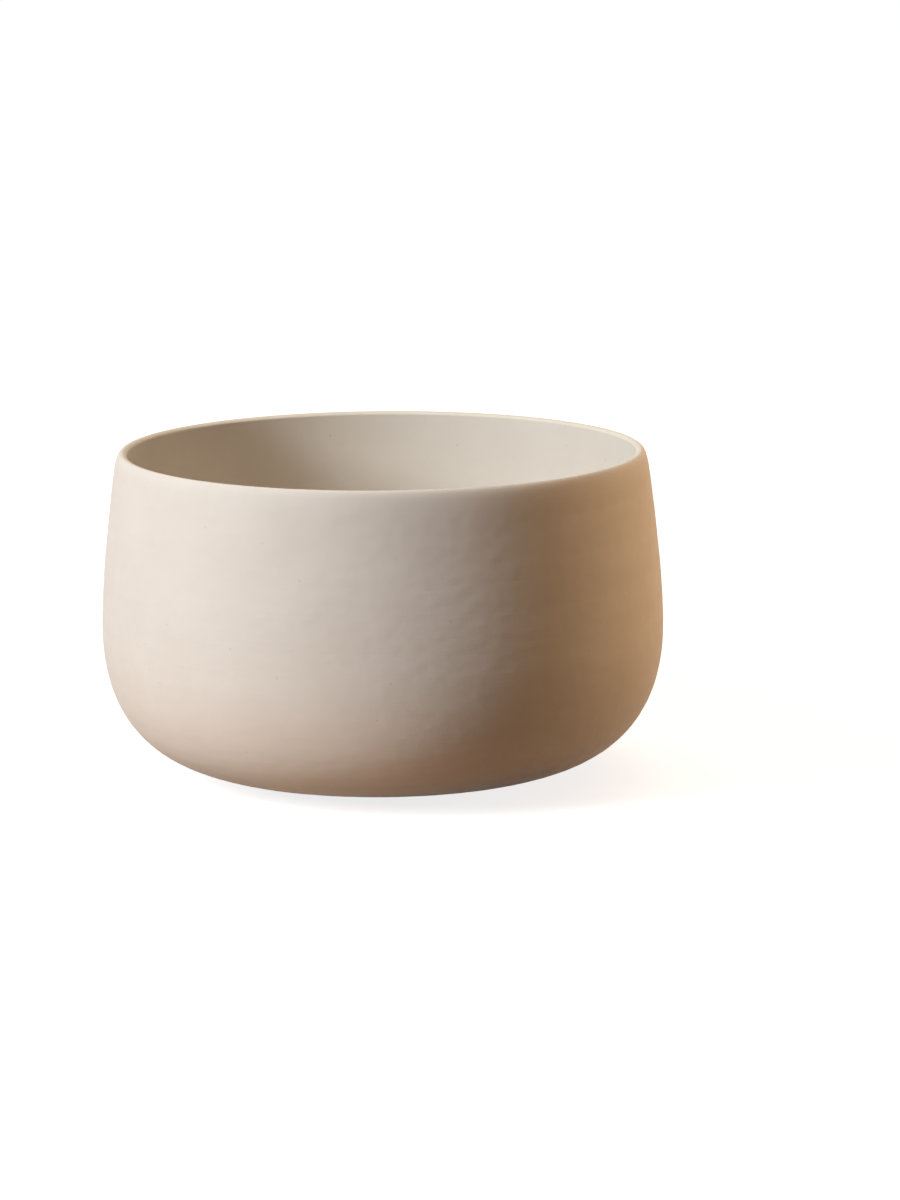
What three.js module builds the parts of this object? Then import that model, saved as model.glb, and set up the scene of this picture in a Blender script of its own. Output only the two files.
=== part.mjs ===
import * as THREE from 'three';

// Round stoneware serving bowl with a soft lower corner, a wall that leans in to the mouth and a rounded lip.
// Millimetres, +Z up. The origin is on the table, at the middle of the foot ring.

// Finished bowl, glaze included. The mouth is measured outside, where the wall turns into the lip.
const bowlDiameter = 240;
const bowlHeight = 140;
const bellyHeight = 65;
const mouthDiameter = 228.8;
const wallThickness = 5;
const floorThickness = 7;

// Height of the lip's rounding on the outside and on the inside
const lipOuterRound = 10;
const lipInnerRound = 1.5;
// Where the crest lies across the lip, from 0 at the inside to 1 at the outside
const crestPlace = 0.38;

// Foot ring, turned from the body's own clay and left bare
const footDiameter = 108;
const footWidth = 6;
const footHeight = 2.5;
const footChamfer = 0.8;

// Glaze coats, each a hairline off the clay that carries it and set back from the bare foot ring
const glazeThickness = 0.5;
const glazeClearance = 0.05;
const glazeSetback = 1;

// Fullness of the outline: how far each curve runs straight on, as a share of what it spans.
// A quarter of a circle has a fullness of 0.5523.
const cornerFullnessOut = 0.7;
const cornerFullnessUp = 0.6;
const wallFullness = 0.33;
const lipFullness = 0.5;

// Facets
const stepsAround = 64;
const stepsOnCorner = 9;
const stepsOnWall = 5;
const stepsOnHalfLip = 6;

const bellyRadius = bowlDiameter / 2;
const mouthRadius = mouthDiameter / 2;
const footOuterRadius = footDiameter / 2;
const footInnerRadius = footOuterRadius - footWidth;
const clayDepth = glazeThickness + glazeClearance;
const floorHeight = footHeight + floorThickness;

// The outside of the finished bowl: a corner from the foot to the belly, then the wall up to the lip's shoulder.
const cornerStart = new THREE.Vector2(footOuterRadius + glazeSetback, footHeight);
const belly = new THREE.Vector2(bellyRadius, bellyHeight);
const cornerCurve = new THREE.CubicBezierCurve(
  cornerStart,
  new THREE.Vector2(THREE.MathUtils.lerp(cornerStart.x, belly.x, cornerFullnessOut), footHeight),
  new THREE.Vector2(bellyRadius, THREE.MathUtils.lerp(bellyHeight, footHeight, cornerFullnessUp)),
  belly,
);
const shoulder = new THREE.Vector2(mouthRadius, bowlHeight - lipOuterRound);
const wallCurve = new THREE.QuadraticBezierCurve(
  belly,
  new THREE.Vector2(bellyRadius, THREE.MathUtils.lerp(bellyHeight, shoulder.y, wallFullness)),
  shoulder,
);

// The lip goes on along the lean of the wall, and its crest lies nearer the inside.
const lean = wallCurve.getTangent(1);
const innerShoulder = pointInWall(wallCurve, 1, wallThickness);
innerShoulder.addScaledVector(lean, (bowlHeight - lipInnerRound - innerShoulder.y) / lean.y);
const crest = new THREE.Vector2(THREE.MathUtils.lerp(innerShoulder.x, shoulder.x, crestPlace), bowlHeight);
const outerLipCurve = lipCurve(shoulder, lipOuterRound);
const innerLipCurve = lipCurve(innerShoulder, lipInnerRound);

// Rounding from a shoulder of the lip to its crest
function lipCurve(from, height) {
  const crestHandle = new THREE.Vector2(THREE.MathUtils.lerp(crest.x, from.x, lipFullness), crest.y);
  return new THREE.CubicBezierCurve(
    from,
    from.clone().addScaledVector(lean, height * lipFullness),
    crestHandle,
    crest,
  );
}

// Point of a curve, moved to the left of its run, which is into the wall where the curve goes up the outside
function pointInWall(curve, t, depth) {
  const along = curve.getTangent(t);
  return curve.getPoint(t).addScaledVector(new THREE.Vector2(-along.y, along.x), depth);
}

// Corner and wall at a depth that may change from the floor to the belly
function cornerAndWall(depthAt) {
  const points = [];
  for (let i = 0; i < stepsOnCorner; i += 1) {
    const t = i / stepsOnCorner;
    points.push(pointInWall(cornerCurve, t, depthAt(t)));
  }
  for (let i = 0; i < stepsOnWall; i += 1) {
    points.push(pointInWall(wallCurve, i / stepsOnWall, depthAt(1)));
  }
  return points;
}

// Half of the lip, at a depth below its face
function halfLip(curve, depth) {
  const points = [];
  for (let i = 0; i <= stepsOnHalfLip; i += 1) {
    points.push(pointInWall(curve, i / stepsOnHalfLip, depth));
  }
  return points;
}

// Face that lies a given depth below the outside, from the foot to the crest
function outsideFace(depth) {
  return [...cornerAndWall(() => depth), ...halfLip(outerLipCurve, depth)];
}

// Face that lies a given depth behind the inside, from the floor to the crest
function insideFace(depth) {
  const thicknessAt = (t) => {
    return THREE.MathUtils.lerp(floorThickness, wallThickness, THREE.MathUtils.smoothstep(t, 0, 1));
  };
  return [...cornerAndWall((t) => thicknessAt(t) - depth), ...halfLip(innerLipCurve, -depth)];
}

// The two coats meet at the crest, where each stops short by half of the clearance.
function stopShortOfCrest(face, side) {
  face.at(-1).x += side * glazeClearance / 2;
  return face;
}

// Solid of revolution about +Z
function turned(name, profile, material) {
  const geometry = new THREE.LatheGeometry(profile, stepsAround);
  geometry.rotateX(Math.PI / 2);
  const mesh = new THREE.Mesh(geometry, material);
  mesh.name = name;
  return mesh;
}

// Fired clay: floor, wall, lip and foot ring in one piece
function clayBody() {
  const wellHeight = footHeight + clayDepth;
  const underside = [
    new THREE.Vector2(0, wellHeight),
    new THREE.Vector2(footInnerRadius, wellHeight),
    new THREE.Vector2(footInnerRadius, footChamfer),
    new THREE.Vector2(footInnerRadius + footChamfer, 0),
    new THREE.Vector2(footOuterRadius - footChamfer, 0),
    new THREE.Vector2(footOuterRadius, footChamfer),
    new THREE.Vector2(footOuterRadius, wellHeight),
  ];
  const outside = outsideFace(clayDepth);
  const insideBelowCrest = insideFace(clayDepth).slice(0, -1);
  const floorMiddle = new THREE.Vector2(0, floorHeight - clayDepth);
  const profile = [...underside, ...outside, ...insideBelowCrest.reverse(), floorMiddle];
  const material = new THREE.MeshStandardMaterial({ color: '#b7a18a', roughness: 0.95, metalness: 0 });
  return turned('clay_body', profile, material);
}

// Glaze on the outside, from the bare foot ring to the crest
function outsideGlaze() {
  const face = stopShortOfCrest(outsideFace(0), 1);
  const back = stopShortOfCrest(outsideFace(glazeThickness), 1);
  const profile = [...face, ...back.reverse(), face[0].clone()];
  const material = new THREE.MeshStandardMaterial({ color: '#ded6ce', roughness: 0.7, metalness: 0 });
  return turned('outside_glaze', profile, material);
}

// Glaze that lines the floor and the wall, up to the crest
function insideGlaze() {
  const face = stopShortOfCrest(insideFace(0), -1);
  const back = stopShortOfCrest(insideFace(glazeThickness), -1);
  const profile = [
    new THREE.Vector2(0, floorHeight - glazeThickness),
    ...back,
    ...face.reverse(),
    new THREE.Vector2(0, floorHeight),
  ];
  const material = new THREE.MeshStandardMaterial({ color: '#e3dbd0', roughness: 0.65, metalness: 0 });
  return turned('inside_glaze', profile, material);
}

// Glaze in the shallow well inside the foot ring
function footWellGlaze() {
  const radius = footInnerRadius - glazeSetback;
  const profile = [
    new THREE.Vector2(0, footHeight),
    new THREE.Vector2(radius, footHeight),
    new THREE.Vector2(radius, footHeight + glazeThickness),
    new THREE.Vector2(0, footHeight + glazeThickness),
  ];
  const material = new THREE.MeshStandardMaterial({ color: '#ded6ce', roughness: 0.7, metalness: 0 });
  return turned('foot_well_glaze', profile, material);
}

const servingBowl = new THREE.Group();
servingBowl.name = 'serving_bowl';
servingBowl.add(clayBody(), outsideGlaze(), insideGlaze(), footWellGlaze());

export default servingBowl;
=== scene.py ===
"""A stoneware serving bowl with its glaze coats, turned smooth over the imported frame. Metres, +Z up."""
import math

import bpy
from mathutils import Matrix, Vector


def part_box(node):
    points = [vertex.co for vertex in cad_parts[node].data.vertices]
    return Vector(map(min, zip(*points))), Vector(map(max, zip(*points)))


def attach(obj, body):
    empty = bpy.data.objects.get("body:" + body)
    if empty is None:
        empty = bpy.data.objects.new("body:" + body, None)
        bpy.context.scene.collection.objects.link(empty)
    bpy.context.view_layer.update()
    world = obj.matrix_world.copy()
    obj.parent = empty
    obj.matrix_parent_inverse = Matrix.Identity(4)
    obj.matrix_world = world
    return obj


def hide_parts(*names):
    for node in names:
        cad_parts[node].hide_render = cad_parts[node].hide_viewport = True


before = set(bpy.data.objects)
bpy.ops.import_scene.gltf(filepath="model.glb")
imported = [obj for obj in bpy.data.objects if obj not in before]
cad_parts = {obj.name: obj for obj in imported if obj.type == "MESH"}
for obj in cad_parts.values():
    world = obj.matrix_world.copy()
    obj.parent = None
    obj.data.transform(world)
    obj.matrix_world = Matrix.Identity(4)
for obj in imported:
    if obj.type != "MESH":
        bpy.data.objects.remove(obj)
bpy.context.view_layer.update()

MM = 0.001

# Sizes of the finished bowl, glaze included
outside_low, outside_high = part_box("outside_glaze")
inside_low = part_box("inside_glaze")[0]
well_low, well_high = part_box("foot_well_glaze")
bowl_radius = outside_high.x
bowl_height = outside_high.z
foot_height = outside_low.z
well_radius = well_high.x
glaze_thickness = well_high.z - well_low.z
floor_height = inside_low.z + glaze_thickness
belly_height = 65 * MM
mouth_radius = 114.4 * MM
wall_thickness = 5 * MM
floor_thickness = floor_height - foot_height
lip_outer_round = 10 * MM
lip_inner_round = 1.5 * MM
foot_outer_radius = 54 * MM
foot_inner_radius = 48 * MM
foot_edge = 0.8 * MM
glaze_setback = 1 * MM
glaze_clearance = 0.05 * MM
clay_depth = glaze_thickness + glaze_clearance

# Where the crest lies across the lip, from 0 at the inside to 1 at the outside
crest_place = 0.38

# Fullness of each curve: how far it runs straight on, as a share of what it spans
corner_fullness_out = 0.7
corner_fullness_up = 0.6
wall_fullness = 0.33
lip_fullness = 0.5

# Rows of faces up the corner, the wall and the lip: fine where the glaze shows, coarse behind it
FINE_ROWS = (90, 70, 16)
COARSE_ROWS = (16, 8, 6)
FLOOR_ROWS = 20
FLOOR_BACK_ROWS = 4
WELL_ROWS = 24
CLAY_WELL_ROWS = 8
FOOT_SIDE_ROWS = 4
FOOT_FLAT_ROWS = 6
EDGE_ROWS = 8
STEPS_AROUND = 400

# Points closer than this are one point, and faces that meet at more than this angle keep their edge
SEAM_GAP = 0.001 * MM
SHARP_EDGE = math.radians(50)


# The bowl's outline. A point is (radius, height).

def bezier(handles, t):
    """Point of a Bezier curve and its direction there."""
    while len(handles) > 2:
        handles = [a.lerp(b, t) for a, b in zip(handles, handles[1:])]
    a, b = handles
    return a.lerp(b, t), (b - a).normalized()


def in_wall(curve, t, depth):
    """Point of a curve, moved to the left of its run: into the wall where it goes up the outside."""
    point, along = bezier(curve, t)
    return point + depth * Vector((-along.y, along.x))


def lip_curve(start, height):
    """Rounding from a shoulder of the lip to its crest."""
    crest_handle = Vector((crest.x + (start.x - crest.x) * lip_fullness, crest.y))
    return [start, start + lean * height * lip_fullness, crest_handle, crest]


corner_start = Vector((foot_outer_radius + glaze_setback, foot_height))
belly = Vector((bowl_radius, belly_height))
shoulder = Vector((mouth_radius, bowl_height - lip_outer_round))
corner = [
    corner_start,
    corner_start.lerp(Vector((bowl_radius, foot_height)), corner_fullness_out),
    belly.lerp(Vector((bowl_radius, foot_height)), corner_fullness_up),
    belly,
]
wall = [belly, belly.lerp(Vector((bowl_radius, shoulder.y)), wall_fullness), shoulder]
lean = bezier(wall, 1)[1]
inner_shoulder = in_wall(wall, 1, wall_thickness)
inner_shoulder += lean * (bowl_height - lip_inner_round - inner_shoulder.y) / lean.y
crest = Vector((inner_shoulder.x + (shoulder.x - inner_shoulder.x) * crest_place, bowl_height))
outer_lip = lip_curve(shoulder, lip_outer_round)
inner_lip = lip_curve(inner_shoulder, lip_inner_round)


def shares(rows):
    """Where each row of a stretch begins, from 0 up to but not including 1."""
    return [i / rows for i in range(rows)]


def outside_face(depth, rows):
    """Face a given depth below the outside, from the foot to the crest."""
    corner_rows, wall_rows, lip_rows = rows
    return (
        [in_wall(corner, t, depth) for t in shares(corner_rows)]
        + [in_wall(wall, t, depth) for t in shares(wall_rows)]
        + [in_wall(outer_lip, t, depth) for t in [*shares(lip_rows), 1]]
    )


def inside_face(depth, rows):
    """Face a given depth behind the inside, from the edge of the floor to the crest."""
    corner_rows, wall_rows, lip_rows = rows
    points = []
    for t in shares(corner_rows):
        ease = t * t * (3 - 2 * t)
        thickness = floor_thickness + (wall_thickness - floor_thickness) * ease
        points.append(in_wall(corner, t, thickness - depth))
    return (
        points
        + [in_wall(wall, t, wall_thickness - depth) for t in shares(wall_rows)]
        + [in_wall(inner_lip, t, -depth) for t in [*shares(lip_rows), 1]]
    )


def straight(start, end, rows):
    """Straight stretch, without its last point."""
    return [Vector(start).lerp(Vector(end), t) for t in shares(rows)]


def rounded(before, edge, after):
    """Edge eased from a point before it to one after it."""
    return [bezier([Vector(before), Vector(edge), Vector(after)], t)[0] for t in shares(EDGE_ROWS)]


# Nodes

def add(tree, kind, inputs=(), **settings):
    """Adds a node, sets its settings, and links or sets its inputs."""
    node = tree.nodes.new(kind)
    for name, value in settings.items():
        setattr(node, name, value)
    for key, value in dict(inputs).items():
        if isinstance(value, bpy.types.NodeSocket):
            tree.links.new(value, node.inputs[key])
        else:
            node.inputs[key].default_value = value
    return node


def maths(tree, operation, *values):
    """Result of a calculation with numbers."""
    return add(tree, "ShaderNodeMath", enumerate(values), operation=operation).outputs[0]


# Geometry Nodes: a profile is swept round the axis, and then the face that shows gets the small unevenness
# that turning and dipping leave. The unevenness only goes inwards, so the bowl keeps its size.

def turning_tree():
    """Tree that turns a profile into a piece, with an input for each of its sizes."""
    tree = bpy.data.node_groups.new("turned on the wheel", "GeometryNodeTree")
    for name, kind in (
        ("Profile", "NodeSocketGeometry"),
        ("Steps Around", "NodeSocketInt"),
        ("Ring Spacing", "NodeSocketFloat"),
        ("Ring Depth", "NodeSocketFloat"),
        ("Dimple Size", "NodeSocketFloat"),
        ("Dimple Depth", "NodeSocketFloat"),
        ("Seed", "NodeSocketFloat"),
        ("Finish", "NodeSocketMaterial"),
    ):
        tree.interface.new_socket(name, in_out="INPUT", socket_type=kind)
    tree.interface.new_socket("Piece", in_out="OUTPUT", socket_type="NodeSocketGeometry")
    given = add(tree, "NodeGroupInput").outputs

    def stored(name):
        return add(tree, "GeometryNodeInputNamedAttribute", {"Name": name}, data_type="FLOAT").outputs[0]

    def store(geometry, name, value):
        inputs = {"Geometry": geometry, "Name": name, "Value": value}
        return add(tree, "GeometryNodeStoreNamedAttribute", inputs).outputs[0]

    def uneven_noise(place, scale):
        inputs = {"Vector": place, "W": given["Seed"], "Scale": scale, "Detail": 1.0}
        return add(tree, "ShaderNodeTexNoise", inputs, noise_dimensions="4D").outputs[0]

    # A grid with one row for each point of the profile and one column for each step around
    rows = add(
        tree, "GeometryNodeAttributeDomainSize", {0: given["Profile"]}, component="MESH"
    ).outputs["Point Count"]
    columns = add(
        tree, "FunctionNodeIntegerMath", {0: given["Steps Around"], 1: 1}, operation="ADD"
    ).outputs[0]
    grid = add(tree, "GeometryNodeMeshGrid", {"Vertices X": columns, "Vertices Y": rows}).outputs["Mesh"]
    index = add(tree, "GeometryNodeInputIndex").outputs[0]
    row = add(tree, "FunctionNodeIntegerMath", {0: index, 1: rows}, operation="MODULO").outputs[0]
    column = add(tree, "FunctionNodeIntegerMath", {0: index, 1: rows}, operation="DIVIDE_FLOOR").outputs[0]
    turn = maths(tree, "DIVIDE", column, given["Steps Around"])
    angle = maths(tree, "MULTIPLY", turn, 2 * math.pi)

    # The profile's points, each turned to its own step
    position = add(tree, "GeometryNodeInputPosition").outputs[0]
    point = add(
        tree, "GeometryNodeSampleIndex",
        {0: given["Profile"], 1: position, 2: row}, data_type="FLOAT_VECTOR",
    ).outputs[0]
    turned = add(
        tree, "ShaderNodeVectorRotate", {"Vector": point, "Angle": angle}, rotation_type="Z_AXIS"
    ).outputs[0]
    swept = add(tree, "GeometryNodeSetPosition", {"Geometry": grid, "Position": turned}).outputs[0]

    # How much unevenness each row takes, and how far along the profile it lies
    for name in ("relief", "run"):
        value = stored(name)
        value = add(tree, "GeometryNodeSampleIndex", {0: given["Profile"], 1: value, 2: row}).outputs[0]
        swept = store(swept, name, value)
    closed = add(
        tree, "GeometryNodeMergeByDistance", {"Geometry": swept, "Distance": SEAM_GAP}
    ).outputs[0]
    relief = stored("relief")
    run = stored("run")

    # Turning rings: noise that is quick along the profile and slow around the bowl
    flat = add(tree, "ShaderNodeVectorMath", {0: position, 1: (1, 1, 0)}, operation="MULTIPLY").outputs[0]
    bearing = add(tree, "ShaderNodeVectorMath", {0: flat}, operation="NORMALIZE").outputs[0]
    ring_count = maths(tree, "DIVIDE", run, given["Ring Spacing"])
    ring_step = add(tree, "ShaderNodeCombineXYZ", {"Z": ring_count}).outputs[0]
    ring_place = add(tree, "ShaderNodeVectorMath", {0: bearing, 1: ring_step}, operation="ADD").outputs[0]
    rings = uneven_noise(ring_place, 1.0)
    ring_cut = maths(tree, "MULTIPLY", rings, given["Ring Depth"])

    # Dimples: slow noise, the same in all directions
    dimple_scale = maths(tree, "DIVIDE", 1.0, given["Dimple Size"])
    dimples = uneven_noise(position, dimple_scale)
    dimple_cut = maths(tree, "MULTIPLY", dimples, given["Dimple Depth"])
    cut = maths(tree, "ADD", ring_cut, dimple_cut)
    cut = maths(tree, "MULTIPLY", cut, relief)
    inwards = maths(tree, "MULTIPLY", cut, -1.0)
    normal = add(tree, "GeometryNodeInputNormal").outputs[0]
    offset = add(tree, "ShaderNodeVectorMath", {0: normal, "Scale": inwards}, operation="SCALE").outputs[0]

    # The glaze pools where the clay lies low, so each point keeps how low it lies, from about 0.3 to 0.7: half
    # of it comes from the rings and half from the dimples
    low = add(tree, "ShaderNodeMix", {0: 0.5, 2: rings, 3: dimples}).outputs[0]
    pooled = store(closed, "hollow", low)
    uneven = add(tree, "GeometryNodeSetPosition", {"Geometry": pooled, "Offset": offset}).outputs[0]

    # Smooth faces, with an edge kept only where the piece really has one
    smooth = add(tree, "GeometryNodeSetShadeSmooth", {"Geometry": uneven}, domain="FACE").outputs[0]
    bend = add(tree, "GeometryNodeInputMeshEdgeAngle").outputs["Unsigned Angle"]
    is_edge = add(
        tree, "FunctionNodeCompare", {0: bend, 1: SHARP_EDGE}, operation="GREATER_THAN"
    ).outputs[0]
    smooth = add(
        tree, "GeometryNodeSetShadeSmooth",
        {"Geometry": smooth, "Selection": is_edge, "Shade Smooth": False}, domain="EDGE",
    ).outputs[0]
    whole = add(tree, "GeometryNodeRealizeInstances", {"Geometry": smooth}).outputs[0]
    finished = add(
        tree, "GeometryNodeSetMaterial", {"Geometry": whole, "Material": given["Finish"]}
    ).outputs[0]
    add(tree, "NodeGroupOutput", {"Piece": finished})
    return tree


def turned_piece(name, node, profile, finish, sizes):
    """Piece that stands for a node of the frame: a profile of (point, relief) pairs, turned round the axis."""
    points = [point for point, relief in profile]
    reliefs = [relief for point, relief in profile]
    run = [0.0]
    for a, b in zip(points, points[1:]):
        run.append(run[-1] + (b - a).length)
    mesh = bpy.data.meshes.new(name)
    mesh.from_pydata([(p.x, 0, p.y) for p in points], [], [])
    mesh.attributes.new("relief", "FLOAT", "POINT").data.foreach_set("value", reliefs)
    mesh.attributes.new("run", "FLOAT", "POINT").data.foreach_set("value", run)
    piece = bpy.data.objects.new(name, mesh)
    bpy.context.scene.collection.objects.link(piece)

    turning = piece.modifiers.new("turning", "NODES")
    turning.node_group = wheel
    settings = {**sizes, "Finish": finish}
    for socket in wheel.interface.items_tree:
        if socket.in_out == "INPUT" and socket.name in settings:
            turning[socket.identifier] = settings[socket.name]
    depsgraph = bpy.context.evaluated_depsgraph_get()
    piece_mesh = bpy.data.meshes.new_from_object(piece.evaluated_get(depsgraph))
    piece.modifiers.clear()

    # The grid brings an empty material slot, ahead of the finish
    piece_mesh.materials.pop(index=0)
    piece.data = piece_mesh
    bpy.data.meshes.remove(mesh)
    piece_mesh.name = name
    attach(piece, "root")
    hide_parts(node)


# Finishes

# The glaze: how large its patterns are in millimetres, and what each makes up of the coat's thickness. Its
# crystal grain is under 0.1 mm on the bowl and is drawn coarser here, so that it shows. Nearly all of the
# noise lies between the last two values.
CLOUD_SIZE, CLOUD_SHARE = 30, 0.5
HOLLOW_SHARE = 0.4
GRAIN_SIZE, GRAIN_SHARE = 0.8, 0.1
NOISE_LOW, NOISE_HIGH = 0.3, 0.7

# Pinholes of about 1 mm, left by gas. There is one in each cell of space, whose size is in millimetres, so that
# those on the coat lie a few centimetres apart. Core and rim are shares of the cell, and they fade between them.
PINHOLE_CELL = 10
PINHOLE_CORE, PINHOLE_RIM = 0.02, 0.06
PINHOLE_STRENGTH = 0.3
PINHOLE_COLOUR = "#a8937c"

# The finest turning lines under the glaze, their spacing in millimetres, and the grain's share beside them
LINE_SPACING = 1.4
LINE_DEPTH = 0.1 * MM
LINE_STRENGTH = 0.2
GRAIN_BESIDE_LINES = 0.4

# How dull the glaze is on a ridge and in a hollow, and how little it mirrors
RIDGE_ROUGHNESS, HOLLOW_ROUGHNESS = 0.74, 0.62
GLAZE_SHEEN = 0.2
GLASS_IOR = 1.5

# The clay: sizes of its clouds and grit in millimetres, and where in the noise the dark grit begins and is full
CLAY_CLOUD_SIZE = 12
GRIT_SIZE = 0.7
GRIT_DEPTH = 0.15 * MM
GRIT_BUMP = 0.4
DARK_GRIT_FROM, DARK_GRIT_FULL = 0.62, 0.72
DARK_GRIT_STRENGTH = 0.6
CLAY_ROUGHNESS = 0.92


def colour(hex_value):
    """Linear colour of an sRGB hex value."""
    parts = [int(hex_value[i:i + 2], 16) / 255 for i in (1, 3, 5)]
    return (*[c / 12.92 if c <= 0.04045 else ((c + 0.055) / 1.055) ** 2.4 for c in parts], 1)


def per_metre(size_mm):
    """Noise scale at which a feature is about this many millimetres across."""
    return 1 / (size_mm * MM)


def noise(tree, place, size_mm, detail):
    inputs = {"Vector": place, "Scale": per_metre(size_mm), "Detail": detail}
    return add(tree, "ShaderNodeTexNoise", inputs).outputs[0]


def ramp(tree, value, start, end, at_start=0.0, at_end=1.0):
    """Goes evenly from one number to another while the value goes from its start to its end."""
    inputs = {"Value": value, "From Min": start, "From Max": end, "To Min": at_start, "To Max": at_end}
    return add(tree, "ShaderNodeMapRange", inputs).outputs[0]


def blend(tree, share, first, second):
    """Colour between two others."""
    return add(tree, "ShaderNodeMix", {0: share, 6: first, 7: second}, data_type="RGBA").outputs[2]


def new_finish(name):
    finish = bpy.data.materials.new(name)
    finish.use_nodes = True
    finish.node_tree.nodes.clear()
    return finish, finish.node_tree


def matte_glaze(name, thick, thin):
    """Matte stoneware glaze, dipped and fired: a soft coat that scatters light and shows no clear reflection.
    It is paler where it pooled in a hollow, warmer where it drew thin over a ridge, and has a few pinholes."""
    finish, tree = new_finish(name)
    place = add(tree, "ShaderNodeTexCoord").outputs["Object"]

    # Colour by the thickness of the coat
    clouds = noise(tree, place, CLOUD_SIZE, 2.0)
    hollow = add(tree, "ShaderNodeAttribute", attribute_name="hollow").outputs["Fac"]
    grain = noise(tree, place, GRAIN_SIZE, 3.0)
    thickness = maths(tree, "MULTIPLY", clouds, CLOUD_SHARE)
    thickness = maths(tree, "MULTIPLY_ADD", hollow, HOLLOW_SHARE, thickness)
    thickness = maths(tree, "MULTIPLY_ADD", grain, GRAIN_SHARE, thickness)
    tone = ramp(tree, thickness, NOISE_LOW, NOISE_HIGH)
    coat = blend(tree, tone, colour(thin), colour(thick))

    # Pinholes
    gas = add(
        tree, "ShaderNodeTexVoronoi", {"Vector": place, "Scale": per_metre(PINHOLE_CELL)}
    ).outputs["Distance"]
    pinhole = ramp(tree, gas, PINHOLE_CORE, PINHOLE_RIM, PINHOLE_STRENGTH, 0.0)
    coat = blend(tree, pinhole, coat, colour(PINHOLE_COLOUR))

    # Turning lines and grain
    run = add(tree, "ShaderNodeAttribute", attribute_name="run").outputs["Fac"]
    lines = add(
        tree, "ShaderNodeTexNoise",
        {"W": run, "Scale": per_metre(LINE_SPACING), "Detail": 1.0}, noise_dimensions="1D",
    ).outputs[0]
    skin = maths(tree, "MULTIPLY_ADD", grain, GRAIN_BESIDE_LINES, lines)
    skin = add(
        tree, "ShaderNodeBump", {"Height": skin, "Strength": LINE_STRENGTH, "Distance": LINE_DEPTH}
    ).outputs[0]

    dullness = ramp(tree, hollow, NOISE_LOW, NOISE_HIGH, RIDGE_ROUGHNESS, HOLLOW_ROUGHNESS)
    shader = add(
        tree, "ShaderNodeBsdfPrincipled",
        {
            "Base Color": coat,
            "Roughness": dullness,
            "IOR": GLASS_IOR,
            "Specular IOR Level": GLAZE_SHEEN,
            "Normal": skin,
        },
    ).outputs[0]
    add(tree, "ShaderNodeOutputMaterial", {"Surface": shader})
    return finish


def bare_stoneware():
    """Bare fired stoneware, sanded on the foot ring: dry, sandy to the eye, with darker grit in it."""
    finish, tree = new_finish("bare fired stoneware")
    place = add(tree, "ShaderNodeTexCoord").outputs["Object"]
    clouds = noise(tree, place, CLAY_CLOUD_SIZE, 3.0)
    grit = noise(tree, place, GRIT_SIZE, 2.0)
    body = blend(tree, clouds, colour("#a8917a"), colour("#c4af97"))
    dark_grit = ramp(tree, grit, DARK_GRIT_FROM, DARK_GRIT_FULL, 0.0, DARK_GRIT_STRENGTH)
    body = blend(tree, dark_grit, body, colour("#7d654e"))
    sanded = add(
        tree, "ShaderNodeBump", {"Height": grit, "Strength": GRIT_BUMP, "Distance": GRIT_DEPTH}
    ).outputs[0]
    shader = add(
        tree, "ShaderNodeBsdfPrincipled",
        {"Base Color": body, "Roughness": CLAY_ROUGHNESS, "IOR": GLASS_IOR, "Normal": sanded},
    ).outputs[0]
    add(tree, "ShaderNodeOutputMaterial", {"Surface": shader})
    return finish


# The pieces

wheel = turning_tree()
outside_finish = matte_glaze("matte stoneware glaze, outside", "#e0d9d2", "#dad2c9")
inside_finish = matte_glaze("matte stoneware glaze, inside", "#e6ded5", "#e0d8cc")
clay_finish = bare_stoneware()

# Unevenness of the glazed faces, and how far below the crest it fades out. The clay behind them is left plain.
RELIEF_FADE = 8 * MM
GLAZE_SIZES = {
    "Steps Around": STEPS_AROUND,
    "Ring Spacing": 4.5 * MM,
    "Ring Depth": 0.10 * MM,
    "Dimple Size": 4.5 * MM,
    "Dimple Depth": 0.28 * MM,
}
PLAIN_SIZES = {"Steps Around": STEPS_AROUND, "Ring Spacing": 1 * MM, "Dimple Size": 1 * MM}


def shown(points):
    """Points of a face that shows, uneven up to the lip, where the two coats run level into each other."""
    profile = []
    for p in points:
        t = min(1.0, (bowl_height - p.y) / RELIEF_FADE)
        profile.append((p, t * t * (3 - 2 * t)))
    return profile


def hidden(points):
    """Points of a face that stays plain."""
    return [(p, 0.0) for p in points]


def outside_coat():
    """Glaze on the outside, from a rounded edge by the bare foot ring to the crest of the lip."""
    face = outside_face(0, FINE_ROWS)
    back = outside_face(glaze_thickness, COARSE_ROWS)
    bead = glaze_thickness / 2
    middle = face[0] + Vector((0, bead))
    edge = [middle + bead * Vector((-math.cos(a), math.sin(a))) for a in (math.pi / 3, 0, -math.pi / 3)]
    profile = shown(face) + hidden(back[::-1] + edge + face[:1])
    sizes = {**GLAZE_SIZES, "Seed": 3.0}
    turned_piece("outside_coat", "outside_glaze", profile, outside_finish, sizes)


def inside_coat():
    """Glaze that lines the floor and the wall, up to the crest of the lip."""
    face = inside_face(0, FINE_ROWS)
    back = inside_face(glaze_thickness, COARSE_ROWS)
    floor = straight((0, floor_height), face[0], FLOOR_ROWS)
    under = straight((0, inside_low.z), back[0], FLOOR_BACK_ROWS)
    profile = hidden(under + back) + shown((floor + face)[::-1])
    sizes = {**GLAZE_SIZES, "Seed": 8.0}
    turned_piece("inside_coat", "inside_glaze", profile, inside_finish, sizes)


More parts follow.
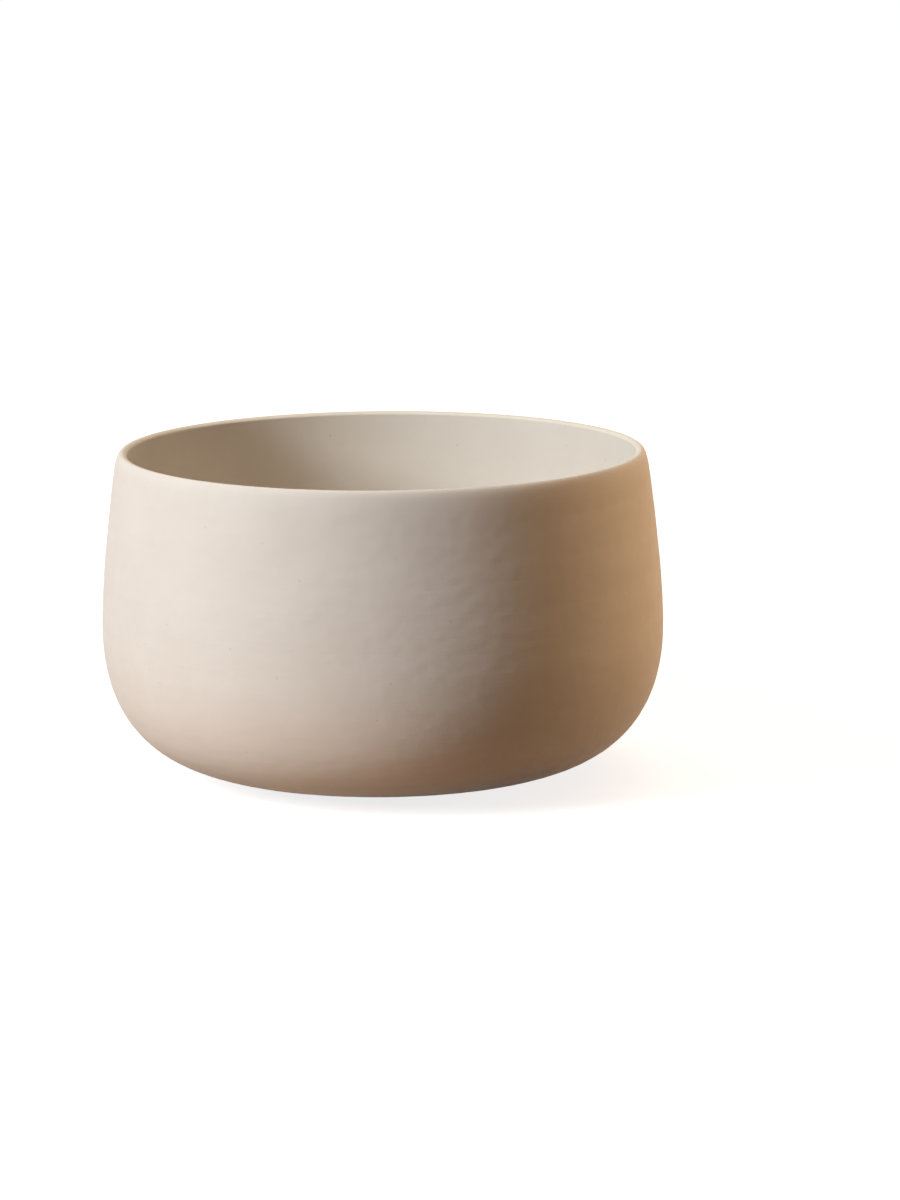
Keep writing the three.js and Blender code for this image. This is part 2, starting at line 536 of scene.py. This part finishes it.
def foot_well_coat():
    """Glaze in the shallow well inside the foot ring, with a rounded edge where it was wiped off the ring."""
    low, high = well_low.z, well_high.z
    ease = 0.4 * glaze_thickness
    edge = (
        rounded((well_radius - ease, low), (well_radius, low), (well_radius, low + ease))
        + [Vector((well_radius, high)), Vector((0, high))]
    )
    profile = shown(straight((0, low), (well_radius - ease, low), WELL_ROWS)) + hidden(edge)
    sizes = {**GLAZE_SIZES, "Seed": 5.0}
    turned_piece("foot_well_coat", "foot_well_glaze", profile, outside_finish, sizes)


def clay():
    """Fired clay: floor, wall, lip and foot ring in one piece."""
    well_height = foot_height + clay_depth
    inner, outer, edge = foot_inner_radius, foot_outer_radius, foot_edge
    underside = (
        straight((0, well_height), (inner, well_height), CLAY_WELL_ROWS)
        + straight((inner, well_height), (inner, edge), FOOT_SIDE_ROWS)
        + rounded((inner, edge), (inner, 0), (inner + edge, 0))
        + straight((inner + edge, 0), (outer - edge, 0), FOOT_FLAT_ROWS)
        + rounded((outer - edge, 0), (outer, 0), (outer, edge))
        + straight((outer, edge), (outer, well_height), FOOT_SIDE_ROWS)
        + [Vector((outer, well_height))]
    )
    outside = outside_face(clay_depth, COARSE_ROWS)
    inside = inside_face(clay_depth, COARSE_ROWS)[:-1]
    floor_middle = Vector((0, floor_height - clay_depth))
    profile = hidden(underside + outside + inside[::-1] + [floor_middle])
    turned_piece("clay", "clay_body", profile, clay_finish, PLAIN_SIZES)


clay()
outside_coat()
inside_coat()
foot_well_coat()


# Camera at the photograph's place. The image is 900 x 1200 pixels, and the bowl's axis stands left of its
# middle.

IMAGE_WIDTH, IMAGE_HEIGHT = 900, 1200
SENSOR_WIDTH = 36
FOCAL_PIXELS = 6180.7
AXIS_PIXEL = (382.83, 633.45)
AXIS_POINT = Vector((0, 0, 60 * MM))
CAMERA_DISTANCE = 2.6
CAMERA_ELEVATION = 0.1836
CAMERA_ROLL = -0.0070


def photo_camera():
    data = bpy.data.cameras.new("photo_camera")
    data.sensor_width = SENSOR_WIDTH
    data.lens = FOCAL_PIXELS * SENSOR_WIDTH / IMAGE_HEIGHT
    data.clip_start, data.clip_end = 0.1, 100
    camera = bpy.data.objects.new("photo_camera", data)
    bpy.context.scene.collection.objects.link(camera)
    pitch = CAMERA_ELEVATION - math.atan((AXIS_PIXEL[1] - IMAGE_HEIGHT / 2) / FOCAL_PIXELS)
    yaw = math.atan((IMAGE_WIDTH / 2 - AXIS_PIXEL[0]) / FOCAL_PIXELS) / math.cos(pitch)
    forward = Vector((math.sin(yaw) * math.cos(pitch), math.cos(yaw) * math.cos(pitch), -math.sin(pitch)))
    right = Vector((math.cos(yaw), -math.sin(yaw), 0))
    up = right.cross(forward)
    right, up = (
        math.cos(CAMERA_ROLL) * right + math.sin(CAMERA_ROLL) * up,
        math.cos(CAMERA_ROLL) * up - math.sin(CAMERA_ROLL) * right,
    )
    place = AXIS_POINT + Vector((0, -CAMERA_DISTANCE, CAMERA_DISTANCE * math.tan(CAMERA_ELEVATION)))
    camera.matrix_world = Matrix.Translation(place) @ Matrix((right, up, -forward)).transposed().to_4x4()
    bpy.context.scene.camera = camera


photo_camera()


# Studio

WHITE = (1, 1, 1, 1)
FLOOR_REACH = 9

# The floor's glow grows from its level at the bowl to full between two distances from the axis, in metres
GLOW_AT_BOWL = 0.8
GLOW_FROM, GLOW_FULL = 0.2, 0.8

# Painted shade in the light that the floor throws back: where its tan begins to darken and is darkest, in metres
# to the right of the axis
PAINTED_SHADE_FROM, PAINTED_SHADE_FULL = -0.04, 0.14
ROOM_LEVEL = 0.01


def lamp(name, azimuth, elevation, distance, width, height, level, hue):
    """Soft panel that faces the bowl. Azimuth 0 is the camera's side and 90 is the right. At level 1 a white
    surface at the bowl that faces the lamp renders white."""
    data = bpy.data.lights.new(name, "AREA")
    data.shape = "RECTANGLE"
    data.size, data.size_y = width, height
    data.energy = level * (math.pi * distance) ** 2
    data.color = colour(hue)[:3]
    a, e = math.radians(azimuth), math.radians(elevation)
    away = Vector((math.sin(a) * math.cos(e), -math.cos(a) * math.cos(e), math.sin(e)))
    made = bpy.data.objects.new(name, data)
    bpy.context.scene.collection.objects.link(made)
    made.location = Vector((0, 0, bowl_height / 2)) + away * distance
    made.rotation_euler = away.to_track_quat("Z", "Y").to_euler()


def seen_directly(tree):
    """1 where the camera sees a surface itself or in a reflection or through glass."""
    path = add(tree, "ShaderNodeLightPath").outputs
    seen = maths(tree, "MAXIMUM", path["Is Camera Ray"], path["Is Glossy Ray"])
    return maths(tree, "MAXIMUM", seen, path["Is Transmission Ray"])


def studio_floor():
    """Pale floor: white to the eye, with the bowl's shadow on it. Where it only throws light back it is a warm
    tan, darker to the right, away from the key: painted shade where the bowl's shadow falls."""
    finish, tree = new_finish("studio floor")
    paper = add(tree, "ShaderNodeBsdfDiffuse", {"Color": colour("#b9b9b9")}).outputs[0]
    place = add(tree, "ShaderNodeTexCoord").outputs["Object"]

    # It glows a little less near the bowl, where the shadow lies
    away = add(tree, "ShaderNodeVectorMath", {0: place}, operation="LENGTH").outputs["Value"]
    level = ramp(tree, away, GLOW_FROM, GLOW_FULL, GLOW_AT_BOWL, 1.0)
    glow = add(tree, "ShaderNodeEmission", {"Color": WHITE, "Strength": level}).outputs[0]
    white = add(tree, "ShaderNodeAddShader", {0: paper, 1: glow}).outputs[0]

    # The tan, from the left of the bowl to its right, darkened towards the right with painted shade
    across = add(tree, "ShaderNodeSeparateXYZ", {0: place}).outputs["X"]
    dim = ramp(tree, across, PAINTED_SHADE_FROM, PAINTED_SHADE_FULL)
    tan = blend(tree, dim, colour("#caa88a"), colour("#4a3222"))
    tan = add(tree, "ShaderNodeBsdfDiffuse", {"Color": tan}).outputs[0]
    shader = add(tree, "ShaderNodeMixShader", {0: seen_directly(tree), 1: tan, 2: white}).outputs[0]
    add(tree, "ShaderNodeOutputMaterial", {"Surface": shader})
    mesh = bpy.data.meshes.new("studio_floor")
    corners = [(x * FLOOR_REACH, y * FLOOR_REACH, 0) for x, y in ((-1, -1), (1, -1), (1, 1), (-1, 1))]
    mesh.from_pydata(corners, [], [(0, 1, 2, 3)])
    mesh.materials.append(finish)
    floor = bpy.data.objects.new("studio_floor", mesh)
    bpy.context.scene.collection.objects.link(floor)


def studio_room():
    """White behind the floor, and a weak warm light from all around."""
    world = bpy.data.worlds.new("studio room")
    world.use_nodes = True
    tree = world.node_tree
    tree.nodes.clear()
    white = add(tree, "ShaderNodeBackground", {"Color": WHITE, "Strength": 1.0}).outputs[0]
    warm = add(
        tree, "ShaderNodeBackground", {"Color": colour("#e0bd94"), "Strength": ROOM_LEVEL}
    ).outputs[0]
    shader = add(tree, "ShaderNodeMixShader", {0: seen_directly(tree), 1: warm, 2: white}).outputs[0]
    add(tree, "ShaderNodeOutputWorld", {"Surface": shader})
    bpy.context.scene.world = world


# Azimuth and elevation in degrees, then distance, width and height in metres, level and colour
lamp("key_panel", -58, 24, 2.0, 0.5, 0.9, 0.96, "#f2faff")
lamp("top_panel", 180, 82, 2.0, 1.2, 1.2, 0.46, "#fff0dc")
lamp("side_panel", 90, 60, 2.0, 1.2, 1.2, 0.2, "#ffd4a2")
lamp("low_reflector", 104, 3, 0.8, 0.5, 0.08, 0.44, "#ffcf98")
studio_floor()
studio_room()
bpy.context.scene.view_settings.view_transform = "Standard"
